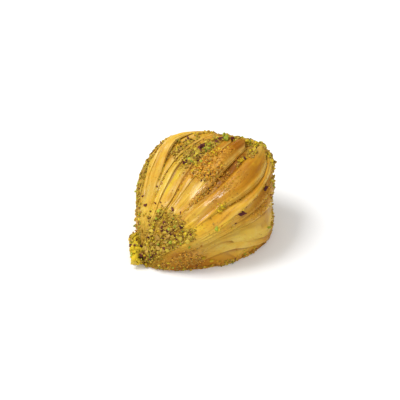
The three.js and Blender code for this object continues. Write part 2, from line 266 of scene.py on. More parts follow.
def petalEdges(station):
    at = np.clip(station, *skin["edgeRange"])
    weights = []
    for own in petalStations:
        others = [other for other in petalStations if other != own]
        weights.append(np.prod([(at - other) / (own - other) for other in others], axis=0))
    edges = [np.zeros_like(station)]
    for petal in petals[1:]:
        girth = sum(share * weight for share, weight in zip(petal["edge"], weights))
        edges.append(np.maximum(girth, edges[-1] + skin["leastPetal"]))
    edges.append(np.ones_like(station))
    return edges


def unevenness(station, girth):
    slow = np.sin(station * 0.21 + girth * 9.0) * np.sin(girth * 23.0 - station * 0.05)
    quick = np.sin(station * 0.47 + girth * 31.0 + 1.3) * np.sin(girth * 57.0 + 0.4)
    return skin["swell"] * (0.65 * slow + 0.35 * quick)


# One column per entry: petal number, share across it, height and shift as shares of its step,
# set-back in mm, how much caramel and painted crease shade it takes, and its crown.
def petalColumns():
    columns = []
    for index, petal in enumerate(petals):
        upper = petals[index + 1]["edge"][1] if index + 1 < len(petals) else 1.0
        leaves = max(1, round(petal["step"] / skin["leafStep"]))
        for leaf in range(leaves):
            for level in skin["leafLevels"]:
                height = (leaf + level) / leaves
                shift = skin["tuck"] * (1 - height) ** 4
                shift -= skin["overhang"] * math.sin(math.pi * height ** 0.8)
                setBack = leaf * skin["terrace"] + (skin["notch"] if level < 0.1 else 0.0)
                crease = max(1 - height * 1.4, 0.65 if level < 0.1 else 0.0)
                columns.append((index, 0.0, height, shift, setBack, crease, 0.0))
        width = overLength(upper) - overLength(petal["edge"][1])
        count = max(6, round(width / skin["columnSpacing"]))
        for number in range(count):
            share = (number + 0.35) / count
            height = 1 - smooth(share, *petal["fall"])
            setBack = leaves * skin["terrace"] * (1 - share)
            crease = smooth(share, *(petal["fall"] if petal["fall"][1] < 1 else skin["foot"]))
            crown = petal["crown"] * math.sin(math.pi * min(share / petal["fall"][1], 1.0))
            columns.append((index, share, height, 0.0, setBack, crease, crown))
    columns.append((len(petals) - 1, 1.0, 0.0, 0.0, 0.0, 0.0, 0.0))
    return columns


# The blunt end: leaves folded over it one inside the other, each with a ragged edge. shape:
# places across a fold from its outer border to its edge, how far it stands up there, and how
# much caramel and painted crease shade it takes there.
blunt = {
    "foldsPastPetals": 5,
    "foldsOnFace": 8,
    "shape": ((0.06, 0, 0.5), (0.4, 0.35, 0.1), (0.9, 1, 0), (1, 0.35, 0.3)),
    "step": 1,  # mm
    "wander": 0.55,  # of a fold
    "wanderLength": 8,
    "patchLength": 6,  # over which a fold stands out or lies flat, mm
    "reach": 24,  # from the rim to the foot, mm
    "faceStep": 0.6,  # of the step, on the face
    "soleFrom": 2,  # height under which the folds run straight into the sole, mm
    "swayGrows": 0.2,  # share of the face
    "swayFades": 0.3,
    "flatFrom": 0.25,  # share of the face after which it is flat
    "roughFrom": 0.1,
    "calmUnder": 1.5,  # height, mm
    "noisePlace": 60,
    "firstOnFace": 20,  # number of the first fold on the face, for its noise
}


nosePast = 0.03  # share past the free end that its rounded nose takes

# Where the streaks of turned ends and of the face lie in their noise, away from the petals' own.
streaks = {"turned": 120, "slant": 0.45, "face": 180}


# Rows as (share of the way to the free end, station offset and height in the rounded nose of
# the end, share past it, fold number, height and painted crease shade in the fold).
def petalRows():
    rows = []
    count = skin["rowsToEnds"]
    for row in range(1, count + 1):
        rows.append(((row / count) ** skin["rowPower"], 0.0, 1.0, 0.0, 0, 0.0, 0.0))
    for row in range(1, skin["noseRows"] + 1):
        angle = math.pi * row / skin["noseRows"]
        rows.append((1.0, 0.5 * math.sin(angle), 0.5 + 0.5 * math.cos(angle), nosePast, 0, 0.0, 0.0))
    for fold in range(blunt["foldsPastPetals"]):
        for share, height, crease in blunt["shape"]:
            past = nosePast + (1 - nosePast) * (fold + share) / blunt["foldsPastPetals"]
            rows.append((1.0, 0.0, 0.0, past, fold + 1, height, crease))
    return rows


# Noise laid along the petals, in mm along them and around the body.
def layNoise(name, along, around):
    kind = relief[name]
    return latticeNoise(along / kind["along"] + 3.7, around / kind["across"], kind["seed"])


def layRelief(name, along, around):
    return relief[name]["depth"] * layNoise(name, along, around)


# Edges of thin sheets that lie over one another within a petal: height and painted crease shade, from 0 to
# 1.
def sheetEdges(station, around):
    kind = relief["sheets"]
    sway = kind["sway"] * layNoise("sheets", station, around / sheetEdge["swayLength"])
    place = around / kind["across"] + sway
    number = np.floor(place)
    share = place - number
    level = latticeNoise(station / kind["along"] + 0.37 * number, number * 1.7, kind["seed"] + 1)
    standing = smooth(level, *sheetEdge["shows"])
    height = smooth(share, 0, sheetEdge["risen"]) * (1 - share) ** sheetEdge["sinking"] * standing
    return height, smooth(share, *sheetEdge["crease"]) * standing


# Powdered patches away from the tip: middle station and girth share, half-spreads, strength.
powdered = {
    "ground": [
        (39, 0.556, 10, 0.03, 0.9), (38, 0.626, 8, 0.018, 0.8), (53, 0.55, 3, 0.08, 0.9),
        (54, 0.45, 3, 0.08, 0.8), (51, 0.405, 4, 0.03, 0.8), (56, 0.33, 3, 0.12, 0.7),
        (19, 0.765, 11, 0.03, 0.8), (58.5, 0.5, 3.2, 0.42, 1)],
    "sandy": [
        (36.5, 0.49, 8, 0.045, 1), (30, 0.43, 6, 0.01, 0.6), (10, 0.14, 7, 0.035, 0.9),
        (25, 0.03, 20, 0.03, 0.7), (34, 0.385, 10, 0.03, 0.35), (24, 0.447, 11, 0.012, 0.7),
        (42, 0.19, 8, 0.03, 0.5), (33, 0.53, 8, 0.012, 0.6)],
}


# The ground coat at the tip: how far it reaches at its middle, how much less to the sides, on
# the right and on the crown, and how it ends there.
tipCover = {"reach": 14.5, "middle": 0.45, "less": 26, "power": 1.3, "right": (5.5, 0.3, 0.24),
            "crown": (5.0, 0.5, 0.58), "ends": (2.5, 3.5)}
# The ragged edge of a powdered patch: how ragged, and lengths along and around in mm.
coverEdge = {"depth": 0.45, "along": 3.4, "around": 2.4, "grain": 1.7, "least": 0.35, "more": 1.3}


# How much of the skin is powdered, from 0 to 1.
def powderCover(name, station, girth):
    around = overLength(girth)
    cover = 0 * station
    if name == "ground":
        away = np.abs(girth - tipCover["middle"])
        reach = tipCover["reach"] - tipCover["less"] * away ** tipCover["power"]
        for side in ("right", "crown"):
            most, start, end = tipCover[side]
            reach = reach - most * smooth(girth, start, end)
        past, before = tipCover["ends"]
        cover = smooth(station, reach + past, reach - before)
    edge = coverEdge["depth"] * latticeNoise(station / coverEdge["along"], around / coverEdge["around"], 32)
    for atStation, atGirth, along, across, strength in powdered[name]:
        away = ((station - atStation) / along) ** 2 + ((girth - atGirth) / across) ** 2 + edge
        cover = np.maximum(cover, strength * np.exp(-np.maximum(away, 0) ** 2))
    ragged = 0.5 + 0.5 * latticeNoise(station / coverEdge["grain"], around / coverEdge["grain"], 31)
    return np.clip(cover * (coverEdge["least"] + coverEdge["more"] * ragged), 0, 1)


# How far a fold of the blunt end stands out along its length, from 0 to 1.
def foldStanding(around, fold):
    return smooth(latticeNoise(around / blunt["patchLength"], fold * 2.7, 52), -0.4, 0.7)


def skinPoints():
    borders = overLength(np.array([petal["edge"][2] for petal in petals] + [1.0]))
    wide = np.diff(borders)
    index, share, height, shift, setBack, crease, crown = np.array(petalColumns()).T[:, None, :]
    index = index.astype(int)
    along, nose, endHeight, past, fold, foldHeight, foldShade = np.array(petalRows()).T[:, :, None]
    isEdge = share == 0.0
    around = borders[index] + share * wide[index] - skin["edgeReach"] * (1 - height) * isEdge
    sway = blunt["wander"] * latticeNoise(around / blunt["wanderLength"], fold * 3.3, 51) * (fold > 0)
    past = past + sway / blunt["foldsPastPetals"] * smooth(1 - past, 0.0, 0.25)
    standing = foldStanding(around, fold)
    foldHeight = foldHeight * blunt["step"] * standing
    foldShade = foldShade * standing
    ends, step, parts = (
        np.array([petal[key] for petal in petals])[index] for key in ("end", "step", "parts"))
    raised = np.array([sum(petal["fall"]) / 2 if petal["fall"][1] < 1 else 1.0 for petal in petals])[index]
    rounding = np.minimum(skin["endRounding"] * wide[index], skin["mostRounding"])
    ends = ends - rounding * (2 * np.minimum(share / raised, 1) - 1) ** 2
    station = ends * along
    pastEnds = ends + (form["endStation"] - ends) * np.clip(past - nosePast, 0, 1)
    station = np.where(past > 0, pastEnds, station)
    edges = np.stack(petalEdges(station), 0)
    lower, upper = (np.take_along_axis(edges, index[None] + side + 0 * station[None].astype(int), 0)[0]
                    for side in (0, 1))
    girth = lower + share * (upper - lower)
    fade = smooth(station, parts[..., 0], parts[..., 1]) * (1 - smooth(past, nosePast, 1.0))
    taper = 1 - skin["endTaper"] * smooth(along, skin["taperFrom"], 1.0)
    rise = step * fade * endHeight * taper
    wander = skin["wander"] * latticeNoise(
        station / skin["wanderLength"] + 7 * index, index * 3.1 + height * 2, 5)
    ragged = skin["ragged"] * latticeNoise(
        station / skin["raggedLength"] + 5 * index, index * 2.3 + height * 5, 6)
    side = (step * shift + (setBack + wander + ragged * height) * (rise > 0)) * fade
    normal, perGirth = bodyFrame(station, girth)
    girth = girth + np.where(girth > 0.001, side, 0) / np.maximum(perGirth, 20)
    girth = np.clip(girth, 0, 1)
    early = smooth(station, *zones["relief"])
    farFlank = smooth(girth, *zones["rightFlank"]) * smooth(station, *zones["farFrom"])
    flank = smooth(girth, *zones["leftFlank"]) + farFlank
    middle, spread, most = zones["plainPetal"]
    plain = most * np.exp(-((girth - middle) / spread) ** 2) * smooth(station, *zones["plainFrom"])
    middle, spread, most = zones["plainCrown"]
    pleated = smooth(station, *zones["pleats"]) * (
        1 - most * smooth(station, *zones["crownFrom"]) * np.exp(-((girth - middle) / spread) ** 4))
    pleated = pleated * smooth(layNoise("pleated", station, around), *relief["pleated"]["shows"])
    pleat = layNoise("pleats", station, around)
    fine = relief["pleats"]["depth"] * (np.minimum(np.abs(pleat), 0.5) * 2 - 0.5) * pleated
    ground = powderCover("ground", station, girth)
    sandy = powderCover("sandy", station, girth) * (1 - ground)
    regions = regionTones(station, girth)
    calm = (1 - skin["wetCalm"] * regions["wet"]) * (1 + flanks["lines"] * farFlank)
    for name, strength in (("folds", 1), ("lines", calm), ("wrinkles", calm)):
        fine += layRelief(name, station, around) * strength
    sheet, sheetShade = sheetEdges(station, around)
    sheetDepth = (1 + flanks["sheets"] * flank) * (1 - plain) * (1 - sandy) * (1 - ground)
    sheetDepth = sheetDepth * smooth(station, *zones["sheets"]) * (fold == 0)
    fine += relief["sheets"]["depth"] * (sheet - sheetEdge["mean"]) * sheetDepth
    fine = fine * early * ~isEdge
    fine += layRelief("ground", station, around) * np.maximum(ground, sandy)
    crusty = smooth(girth, *zones["rightCrust"]) + smooth(girth, *zones["leftCrust"])
    fine += layRelief("crust", station, around) * crusty * early
    fine = fine * (1 - smooth(past, 0.5, 1.0))
    out = (rise * height + crown * fade - skin["sink"] * fade
           - skin["endDrop"] * (past > 0) * (1 - endHeight))
    out = out + unevenness(station, girth) * early + fine + foldHeight
    point = bodyPoint(station + nose * rise, girth)
    clear = point[..., 2].copy()
    normal = normal.copy()
    normal[..., 2] *= smooth(clear, 0, 4)
    hold = smooth(np.minimum(girth, 1 - girth), -0.02, 0.03)
    point = point + normal * (out * hold)[..., None]
    onFoot = (girth <= 0) | (girth >= 1)
    point[..., 2] = np.where(onFoot, 0, np.maximum(point[..., 2], 0.4 * np.minimum(clear, 0.5)))
    pleatShadeWidth, pleatShadeDepth = relief["pleats"]["pleatShade"]
    pleatShade = np.exp(-(pleat / pleatShadeWidth) ** 2) * pleated * pleatShadeDepth * ~isEdge
    # A painted highlight lightens the upper part of each petal's border.
    border = np.exp(-(share * wide[index] / skin["rimHighlightWidth"]) ** 2) * fade
    most, shallow, deep = skin["noseShadow"]
    # A painted shadow darkens the foot of each petal's free end.
    noseShadow = most * (1 - endHeight) * (past <= nosePast) * smooth(step * fade * taper, shallow, deep)
    facts = {"station": station, "ground": ground, "sandy": sandy,
             "rim": border * (height > skin["rimHighlightFrom"]) * (1 - ground),
             # crease: caramel brown with painted shade in creases, under petal edges, at petal feet and in
             # folds
             "crease": np.maximum.reduce(
                 [crease * fade, pleatShade, foldShade, noseShadow, 0.5 * sheetShade * sheetDepth * ~isEdge])}
    facts.update(regions)
    # On turned ends and folds the streaks run around the body.
    turned = (endHeight < 1) & (rise > 0.05) | (fold > 0)
    facts["station"] = np.where(turned, around, station)
    facts["around"] = np.where(
        turned, streaks["turned"] + streaks["slant"] * station + endHeight, around + 0 * station)
    return point, facts


# Patches of tone on the skin, as in powdered.
tones = {
    # The pale patch at station 27, girth 0.458 is a painted highlight on the middle petal.
    "pale": [
        (20, 0.68, 14, 0.07, 0.45), (22, 0.57, 9, 0.05, 0.8), (31, 0.125, 10, 0.035, 1),
        (19, 0.385, 7, 0.03, 0.5), (53, 0.37, 4, 0.04, 0.7), (17, 0.23, 9, 0.05, 0.45),
        (37, 0.588, 7, 0.012, 0.8), (27, 0.458, 5, 0.014, 0.8), (60, 0.5, 6, 0.6, 0.7),
        (8, 0.6, 7, 0.09, 0.8), (27, 0.48, 9, 0.03, 0.6), (42, 0.1, 8, 0.03, 0.7),
        (34, 0.8, 20, 0.09, 0.7), (25, 0.155, 12, 0.04, 0.7)],
    # The brown patch at station 41, girth 0.425 darkens the hollow beside the big petal: browned pastry and
    # painted shade.
    "brown": [
        (41, 0.205, 11, 0.04, 0.95), (12, 0.075, 10, 0.055, 1), (34, 0.02, 20, 0.035, 1),
        (48, 0.47, 7, 0.06, 1), (44, 0.335, 10, 0.03, 0.6), (38, 0.555, 9, 0.03, 0.5),
        (8, 0.17, 6, 0.06, 0.8), (42, 0.35, 14, 0.07, 0.45), (40, 0.52, 6, 0.012, 0.7),
        (41, 0.425, 8, 0.02, 1), (40, 0.6, 8, 0.02, 0.3)],
    "olive": [
        (20, 0.17, 12, 0.07, 0.7), (12, 0.7, 8, 0.06, 0.5), (38, 0.56, 9, 0.04, 0.6),
        (18, 0.77, 13, 0.04, 0.8), (20, 0.65, 8, 0.04, 0.4), (60, 0.5, 5, 0.6, 0.4)],
    # The rose patch at station 51, girth 0.455 is painted shade on the right side of a petal's free end.
    "rose": [
        (51, 0.455, 5, 0.03, 0.9), (42, 0.03, 13, 0.03, 0.6), (45, 0.19, 7, 0.04, 0.4),
        (12, 0.05, 12, 0.06, 0.8), (21, 0.62, 5, 0.02, 0.3)],
    "lemon": [
        (25.6, 0.55, 3, 0.009, 0.9), (29.9, 0.56, 3, 0.009, 0.9), (20.4, 0.557, 2.5, 0.007, 0.8),
        (12.6, 0.585, 3, 0.012, 0.9), (26, 0.327, 4, 0.012, 0.7), (15, 0.31, 4, 0.03, 0.7),
        (48, 0.405, 4, 0.012, 0.8), (14, 0.365, 4, 0.02, 0.6), (34, 0.6, 5, 0.008, 0.6),
        (24, 0.245, 5, 0.015, 0.5)],
    "wet": [
        (29.5, 0.37, 1.4, 0.006, 0.8), (24, 0.377, 3, 0.01, 1), (20, 0.35, 3, 0.014, 1),
        (26, 0.457, 3.5, 0.012, 1), (21.1, 0.597, 3, 0.008, 1), (18.4, 0.574, 2.5, 0.008, 1),
        (31, 0.52, 3, 0.01, 0.8), (40, 0.655, 5, 0.012, 0.7), (38, 0.24, 4, 0.01, 0.8),
        (30, 0.1, 5, 0.02, 0.5), (50.5, 0.445, 2, 0.02, 0.6)],
}


def regionTones(station, girth):
    fields = {}
    for name, patchList in tones.items():
        rest = np.ones_like(station)
        for atStation, atGirth, along, across, strength in patchList:
            away = ((station - atStation) / along) ** 2 + ((girth - atGirth) / across) ** 2
            rest = rest * (1 - strength * np.exp(-away))
        fields[name] = 1 - rest
    return fields


# The face of the blunt end, drawn in from its rim to the middle of its foot.
def endFace(rim, around):
    foot = np.array([form["endStation"], form["bend"], 0.0])
    offSole = smooth(rim[:, 2], 0.0, blunt["soleFrom"])
    rings, foldShades, depths = [], [], []
    for fold in range(blunt["foldsOnFace"]):
        sway = blunt["wander"] * offSole * latticeNoise(
            around / blunt["wanderLength"], blunt["firstOnFace"] + fold * 3.3, 51)
        standing = foldStanding(around, blunt["firstOnFace"] + fold)
        for share, height, crease in blunt["shape"]:
            inward = (fold + share) / blunt["foldsOnFace"]
            inward = inward + sway / blunt["foldsOnFace"] * (
                smooth(inward, 0, blunt["swayGrows"]) * smooth(1 - inward, 0, blunt["swayFades"]))
            ring = rim + (foot - rim) * inward[:, None]
            flat = form["endStation"] + form["endBulge"] * inward * (2 - inward)
            depth = inward * blunt["reach"]
            rough = sum(layRelief(name, around, blunt["noisePlace"] + depth)
                        for name in ("folds", "wrinkles", "lines"))
            ring[:, 0] = rim[:, 0] + (flat - rim[:, 0]) * smooth(inward, 0, blunt["flatFrom"])
            out = blunt["faceStep"] * blunt["step"] * height * standing
            out = out + rough * smooth(inward, 0, blunt["roughFrom"])
            ring[:, 0] += out * (1 - inward) * smooth(ring[:, 2], 0, blunt["calmUnder"])
            rings.append(ring)
            foldShades.append(crease * standing)
            depths.append(streaks["face"] + depth)
    rings[-1][:] = foot + [form["endBulge"], 0, 0]
    return np.stack(rings), np.stack(foldShades), np.stack(depths)


# Adds the sole's columns on both sides and the rows of the blunt end.
def closedSkin():
    point, facts = skinPoints()
    rightFoot, leftFoot = point[:, 0], point[:, -1]
    middle = (rightFoot + leftFoot) / 2
    steps = np.linspace(0, 1, skin["soleColumns"] + 1)
    rightSole = np.stack([middle + (rightFoot - middle) * step for step in steps[:-1]], 1)
    leftSole = np.stack([leftFoot + (middle - leftFoot) * step for step in steps[1:]], 1)
    point = np.concatenate([rightSole, point, leftSole], 1)
    facts = {name: np.pad(values, ((0, 0), (skin["soleColumns"],) * 2), "edge")
             for name, values in facts.items()}
    end, foldShades, depths = endFace(point[-1], facts["station"][-1])
    tip = np.zeros((1,) + point.shape[1:])
    point = np.concatenate([tip, point, end], 0)
    for name, values in facts.items():
        last = {"crease": foldShades, "around": depths}.get(name, np.repeat(values[-1:], len(end), 0))
        facts[name] = np.concatenate([values[:1], values, last], 0)
    return point, facts


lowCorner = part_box("baklava")[0]
tipX, tipY = form["tipFromBox"]
tipPlace = np.array([lowCorner.x + tipX * mm, lowCorner.y + tipY * mm, 0.0])


def cadPlace(points):
    return np.asarray(points) * mm + tipPlace


def linkPiece(name, data):
    piece = bpy.data.objects.new(name, data)
    bpy.context.scene.collection.objects.link(piece)
    return piece


def linkMesh(bm, name):
    mesh = bpy.data.meshes.new(name)
    bm.to_mesh(mesh)
    bm.free()
    return linkPiece(name, mesh)


def buildPastry():
    point, facts = closedSkin()
    place = cadPlace(point)
    rowCount, columnCount = point.shape[:2]
    bm = bmesh.new()
    bmesh.ops.create_grid(bm, x_segments=rowCount - 1, y_segments=columnCount - 1, size=0.5)
    layers = {name: bm.verts.layers.float.new(name) for name in facts}
    for vertex in bm.verts:
        row = round((vertex.co.x + 0.5) * (rowCount - 1))
        column = round((vertex.co.y + 0.5) * (columnCount - 1))
        vertex.co = place[row, column]
        for name, layer in layers.items():
            vertex[layer] = facts[name][row, column]
    bmesh.ops.remove_doubles(bm, verts=bm.verts, dist=skin["sameWithin"] * mm)
    bmesh.ops.dissolve_degenerate(bm, dist=skin["thinBelow"] * mm, edges=bm.edges)
    if bm.calc_volume(signed=True) < 0:
        bmesh.ops.reverse_faces(bm, faces=bm.faces)
    for face in bm.faces:
        face.smooth = True
    openEdges = sum(not edge.is_manifold for edge in bm.edges)
    pastry = linkMesh(bm, "filoPetals")
    print("pastry", len(pastry.data.polygons), "faces", openEdges, "open edges")
    return pastry


# Chopped pistachio. tones: of a grain's lightest and darkest parts, by kind.
nuts = {
    "seed": 77,
    "sunk": 0.3,  # of a grain's radius, into the pastry
    "mostLift": 0.9,  # of its radius, from the pastry to its middle
    "flatter": 0.35,  # the share by which the largest grains are pressed down
    "flatSizes": (1.2, 2.8),
    "chips": 6,  # flat faces knocked off a grain
    "chipDepths": (0.25, 0.7),
    "crowd": 2.4,  # mm across a crowd of grains
    "crowdLevels": (-0.7, 0.35),
    "sizePower": 2.2,  # how much commoner the small ones are
    "uneven": (0.86, 1.14),
    "stretch": ((1.0, 1.6), (0.75, 1.1), (0.6, 1.0)),
    "fineBelow": 0.75,  # mm; smaller grains are cut from a plainer ball
    "skinSize": 0.75,  # bits of the nuts' dark skin are smaller by this
    "above": 0.3,  # mm that a grain may stand above the solid's box
    "tones": {
        "kernelYellow": ("#DABC2A", "#94781A"),
        "kernelOlive": ("#CCB040", "#907420"),
        "kernelGreen": ("#B0B83A", "#6E7626"),
        "nutSkin": ("#6A342E", "#381618"),
        "toastedCrumb": ("#BE9A48", "#845C20"),
        "goldenCrumb": ("#E0A83C", "#A86C18"),
    },
}

yellow, olive, green, dark, toasted, golden = nuts["tones"]

# Shares of the kinds in each mix.
mixes = {
    "mixed": {yellow: 0.24, olive: 0.38, green: 0.06, dark: 0.1, toasted: 0.22},
    "golden": {golden: 0.62, yellow: 0.12, toasted: 0.18, dark: 0.08},
    "tip": {olive: 0.4, toasted: 0.28, yellow: 0.13, dark: 0.15, green: 0.04},
    "crust": {toasted: 0.45, golden: 0.32, dark: 0.13, olive: 0.1},
    "edge": {olive: 0.46, toasted: 0.26, dark: 0.16, green: 0.06, yellow: 0.06},
    "nest": {olive: 0.28, yellow: 0.14, green: 0.13, dark: 0.25, toasted: 0.2},
    "bed": {toasted: 0.38, olive: 0.32, dark: 0.2, yellow: 0.1},
    "dark": {dark: 0.5, olive: 0.2, toasted: 0.3},
    "yellow": {yellow: 0.85, golden: 0.15},
    "clump": {yellow: 0.62, olive: 0.16, green: 0.05, dark: 0.07, toasted: 0.1},
}

# Patches of nuts on the skin: middle station and girth share, half-spreads, count, smallest and
# largest grain, and mix. They thicken to the middle, but for even ones and for those that lie
# along a petal's border, which give the petal's number in place of the girth share.
patches = (
    # the tip
    (7, 0.39, 6.5, 0.14, 700, 0.5, 2.3, "tip", "even"),
    (7.5, 0.39, 7.5, 0.15, 2300, 0.3, 0.9, "tip", "even"),
    (4, 0.6, 5, 0.1, 110, 0.3, 1.5, "mixed", "even"), (11, 0.44, 7.5, 0.2, 420, 0.3, 1.3, "mixed"),
    (6, 0.8, 6, 0.12, 360, 0.4, 1.6, "mixed", "even"),
    (2.5, 0.18, 3, 0.13, 200, 0.4, 1.5, "mixed", "even"),
    # the nest on the crown
    (39.5, 0.556, 9.5, 0.026, 380, 0.5, 2.6, "nest"), (41, 0.565, 4, 0.014, 110, 0.5, 1.6, "dark"),
    (39, 0.558, 11, 0.036, 1900, 0.3, 0.9, "bed"),
    # the hollow beside the big petal
    (38, 0.626, 8, 0.026, 760, 0.3, 1.3, "bed"), (38, 0.59, 9, 0.03, 260, 0.3, 1, "bed"),
    # the crown and its petals
    (37, 0.487, 9.5, 0.05, 1600, 0.35, 1.4, "golden"), (33, 0.38, 10, 0.06, 900, 0.2, 0.5, "golden"),
    (41, 0.185, 8, 0.032, 420, 0.25, 0.7, "golden"), (37, 0.425, 9, 0.02, 110, 0.3, 0.9, "golden"),
    (45.5, 0.412, 5, 0.014, 60, 0.4, 1.9, "mixed"), (51, 0.405, 3.5, 0.035, 200, 0.4, 1.6, "mixed"),
    (46.5, 0.655, 5, 0.012, 60, 0.5, 1.6, "mixed"),
    # the far crest and its corner
    (52.5, 0.545, 2.6, 0.06, 200, 0.7, 2.7, "nest"), (53, 0.45, 2.6, 0.05, 160, 0.4, 1.7, "mixed"),
    (55.8, 0.33, 2.4, 0.1, 420, 0.4, 1.7, "mixed"), (49.5, 0.39, 4, 0.035, 90, 0.3, 1.3, "mixed"),
    # one spot on the big petal
    (27, 0.333, 2.6, 0.019, 80, 0.4, 1.3, "yellow"),
    # the left edge and the foot
    (25, 0.785, 23, 0.055, 520, 0.3, 1.5, "edge"), (21, 0.05, 19, 0.045, 160, 0.3, 1.4, "mixed"),
    (26, 0.02, 24, 0.045, 900, 0.3, 1.1, "crust"), (18, 0.755, 12, 0.04, 620, 0.3, 1.1, "edge"),
    (9.5, 0.13, 8.5, 0.06, 1000, 0.25, 0.9, "crust"),
    # the far sides
    (50, 0.17, 6, 0.14, 120, 0.3, 1.3, "mixed"), (53.5, 0.12, 5.5, 0.13, 420, 0.3, 1.2, "tip"),
    (34, 0.89, 22, 0.08, 220, 0.4, 1.4, "mixed"), (53, 0.7, 4, 0.2, 320, 0.4, 1.6, "mixed"),
    (55, 0.84, 5.5, 0.15, 480, 0.3, 1.2, "tip"),
    # the blunt end
    (56.8, 0.5, 3, 0.47, 1300, 0.4, 2, "mixed"), (57.5, 0.5, 3.5, 0.49, 700, 0.4, 1.6, "mixed", "even"),
    (66, 0.5, 13, 0.49, 1100, 0.5, 2.2, "mixed", "even"),
    (66, 0.5, 15, 0.49, 2200, 0.3, 0.9, "tip", "even"),
    # the grooves and petals' borders
    (25, 0.447, 11, 0.012, 320, 0.25, 0.65, "golden"),
    (33, 5, 15, 0.006, 130, 0.3, 0.9, "golden", "border"),
    (30, 6, 14, 0.006, 170, 0.3, 0.9, "golden", "border"),
    (24, 7, 12, 0.007, 330, 0.3, 1, "golden", "border"),
    (24, 9, 12, 0.005, 130, 0.3, 0.8, "golden", "border"),
    (24, 11, 12, 0.005, 110, 0.3, 0.8, "golden", "border"),
    (30, 12, 16, 0.005, 170, 0.3, 1, "tip", "border"),
    # all over
    (30, 0.45, 27, 0.4, 900, 0.25, 0.6, "golden", "even"),
)

# Grains that stand alone, by kind: station, girth share, size.
loneNuts = {
    dark: [(32.6, 0.232, 2.9), (31, 0.245, 1), (45.6, 0.228, 2.6), (28.3, 0.203, 1), (11.7, 0.636, 1.7),
        (18.2, 0.609, 1.2), (19.1, 0.605, 1), (14, 0.69, 1.1), (13.4, 0.302, 1.7), (11.2, 0.314, 1.4),
        (12.9, 0.386, 1.9), (9.5, 0.366, 1.6), (8.1, 0.458, 1.4), (10.4, 0.481, 1.5), (13.8, 0.574, 1.1),
        (15.1, 0.552, 1.2), (15.4, 0.488, 1.4), (9.1, 0.566, 1), (6.5, 0.502, 1.2), (7.2, 0.553, 1),
        (46.2, 0.402, 2.1), (40, 0.574, 2.7), (42.5, 0.563, 2.4), (49.2, 0.56, 2.6), (50.6, 0.518, 2.9),
        (50.8, 0.503, 2)],
    toasted: [(27.3, 0.202, 1.6), (21.2, 0.285, 1), (52.3, 0.39, 1.1)],
    green: [(21.4, 0.245, 2.2), (12.2, 0.537, 1.9), (7.3, 0.325, 1.6), (11.3, 0.21, 1.5),
        (34.2, 0.56, 2.6), (36, 0.52, 1.5), (44, 0.12, 1.8), (50, 0.532, 3.2)],
    yellow: [(21.8, 0.226, 1.9), (15.4, 0.125, 2.5), (18.6, 0.085, 1.8), (26.4, 0.19, 0.9),
        (11.9, 0.495, 1.7), (4.6, 0.494, 2.3), (12.2, 0.336, 1.5), (45, 0.41, 1.9), (38.5, 0.66, 1.6),
        (51.9, 0.46, 2.6), (46.2, 0.654, 1.4), (47.6, 0.645, 1.3), (26.4, 0.336, 1.5), (27.2, 0.331, 1.8),
        (25.8, 0.33, 1.3), (27.9, 0.323, 1.3), (26.9, 0.346, 1.2), (25.3, 0.338, 1)],
    olive: [(37.5, 0.566, 2.6), (48.3, 0.586, 2.3), (49.4, 0.545, 3), (51, 0.49, 2.7), (51.5, 0.475, 2.9)],
}

# The rough clump of ground pistachio at the tip: lumps along a line from foot to top.
clump = {
    "foot": (-0.9, 1.4, 3.4),
    "top": (2.3, 6.6, 8.2),
    "lumps": 7,
    "radius": (2.7, 2),
    "core": 0.88,  # of a lump's radius
    # a dark core under the grains: painted shade in the gaps between them
    "shadeCoreTones": ("#7A661C", "#3E300C"),
    "grains": 520,
    "size": (0.8, 3.8),
    "sizePower": 2.4,
    "out": (0.9, 1.08),  # of a lump's radius
    "sunk": 0.25,  # of a grain's size
}


def skinTree(pastry):
    bm = bmesh.new()
    bm.from_mesh(pastry.data)
    tree = BVHTree.FromBMesh(bm)
    bm.free()
    return tree


# Drops a point onto the skin from outside, at a station and girth share. Past the last station
# it moves in over the blunt end.
def landing(tree, station, girth):
    at = np.array([min(max(station, 0.3), form["endStation"] - 0.3)])
    share = np.array([min(max(girth, 0.004), 0.996)])
    start, way = bodyPoint(at, share)[0], bodyFrame(at, share)[0][0]
    if station > form["endStation"]:
        inward = min((station - form["endStation"]) / blunt["reach"], 1.0)
        start = start + (np.array([form["endStation"], form["bend"], 0.0]) - start) * inward
        way = np.array([1.0, 0.0, 0.0])
    place, faceNormal, _, _ = tree.ray_cast(Vector(cadPlace(start + 9 * way)), Vector(-way))
    if place is not None:
        place, faceNormal, _, _ = tree.find_nearest(place - 0.3 * mm * Vector(way))
    return place, faceNormal


def pickKind(rng, mix):
    names = list(mixes[mix])
    weights = np.array(list(mixes[mix].values()))
    return names[rng.choice(len(names), p=weights / weights.sum())]


def nutPlaces(tree):
    rng = np.random.default_rng(nuts["seed"])
    found = []
    for atStation, atGirth, along, across, count, small, large, mix, *way in patches:
        for _ in range(count):
            off = rng.uniform(-1, 1, 2)
            if "even" not in way:
                off = (off + rng.uniform(-1, 1, 2)) / 2
            size = small + (large - small) * rng.uniform() ** nuts["sizePower"]
            kind = pickKind(rng, mix)
            if kind == dark:
                size *= nuts["skinSize"]
            station = atStation + along * off[0]
            girth = atGirth + across * off[1]
            if "border" in way:
                girth = petalEdges(np.array([station]))[atGirth][0] - across * (0.6 + 0.8 * off[1])
            crowd = float(latticeNoise(station / nuts["crowd"], overLength(girth) / nuts["crowd"], 41))
            if crowd >= rng.uniform(*nuts["crowdLevels"]):
                found.append((*landing(tree, station, girth), size, kind))
    for kind, grains in loneNuts.items():
        for station, girth, size in grains:
            found.append((*landing(tree, station, girth), size, kind))
    return [entry for entry in found if entry[0] is not None]


